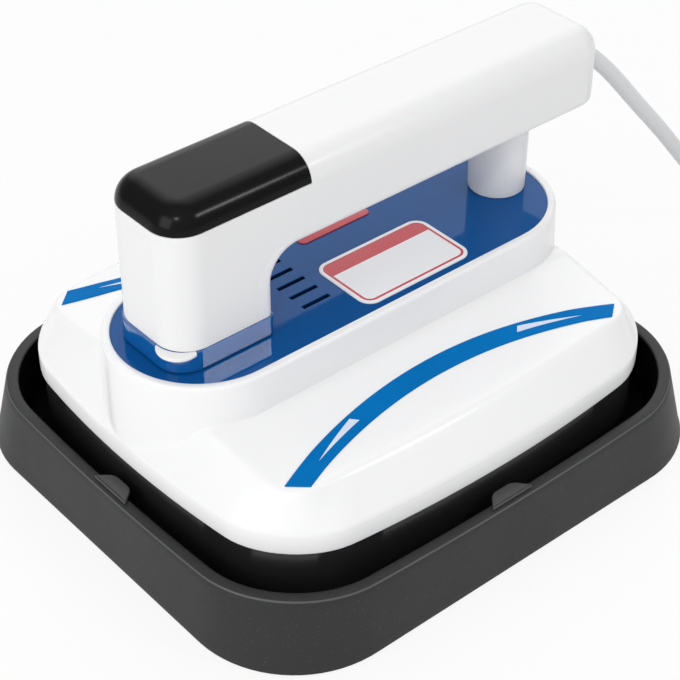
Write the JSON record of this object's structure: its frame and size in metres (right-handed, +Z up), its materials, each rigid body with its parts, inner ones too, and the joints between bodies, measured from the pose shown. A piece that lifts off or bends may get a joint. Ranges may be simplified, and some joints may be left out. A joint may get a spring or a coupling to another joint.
{
  "type": "portable heat press",
  "caption": "Hand-held heat press with a domed housing, blue deck and bridge handle, resting in a grey base tray, with its mains lead coiled.",
  "frame": {"origin": "on the table under the middle of the base tray", "axes": "+X towards the end where the lead leaves, +Y towards the long side away from the label plate, +Z up"},
  "size_m": [0.5389, 0.262, 0.1854],
  "materials": {
    "tray_grey": "fine moulded texture",
    "tab_grey": "fine moulded texture",
    "mat_black": "matt silicone",
    "foot_black": "matt",
    "plate_alloy": "cast, ground face",
    "element_steel": "drawn tube",
    "fuse_ceramic": "matt",
    "sensor_brass": "turned",
    "blanket_felt": "ceramic-fibre felt",
    "shield_sheet": "rolled sheet",
    "fastener_steel": "zinc plated",
    "skirt_black": "fine moulded texture",
    "shell_white": "satin gloss",
    "deck_blue": "high gloss",
    "plinth_blue": "gloss",
    "label_silver": "satin film",
    "strip_red": "satin film",
    "trim_blue": "gloss",
    "handle_white": "satin gloss",
    "liner_white": "satin gloss",
    "cap_black": "high gloss",
    "board_green": "solder mask",
    "module_black": "matt",
    "relay_blue": "matt",
    "block_green": "matt",
    "lead_dark": "matt",
    "lead_fibre": "braided sleeve",
    "cord_grey": "satin",
    "tie_black": "satin",
    "pin_brass": "nickel-free turned"
  },
  "bodies": {
    "base": {"base_tray": "tray_grey", "tray_tabs": "tab_grey", "tray_mat": "mat_black", "tray_feet": "foot_black", "cord_coil": "cord_grey", "coil_tie": "tie_black", "plug_body": "cord_grey", "plug_pins": "pin_brass"},
    "press": {"heating_plate": "plate_alloy", "heating_element": "element_steel", "thermal_fuse": "fuse_ceramic", "heat_sensor": "sensor_brass", "insulation_blanket": "blanket_felt", "heat_shield": "shield_sheet", "plate_spacers": "fastener_steel", "plate_screws": "fastener_steel", "lower_housing": "skirt_black", "upper_shell": "shell_white", "housing_screws": "fastener_steel", "deck_panel": "deck_blue", "leg_plinth": "plinth_blue", "label_plate": "label_silver", "red_strip": "strip_red", "arc_trim_near": "trim_blue", "arc_trim_far": "trim_blue", "handle_shell": "handle_white", "handle_liner": "liner_white", "toe_lip": "handle_white", "display_cap": "cap_black", "rear_post": "liner_white", "leg_screws": "fastener_steel", "post_screw": "fastener_steel", "liner_screws": "fastener_steel", "control_board": "board_green", "display_module": "module_black", "touch_pads": "module_black", "buzzer": "module_black", "power_board": "board_green", "board_screws": "fastener_steel", "relay": "relay_blue", "terminal_block": "block_green", "element_leads": "lead_fibre", "inner_lead": "lead_dark", "cord_grip": "fuse_ceramic", "strain_relief": "cord_grey", "power_cord": "cord_grey"}
  },
  "joints": [
    {"name": "lift_off", "type": "slide", "parent": "base", "child": "press", "axis": [0, 0, 1], "range_m": [0, 0.12]}
  ]
}
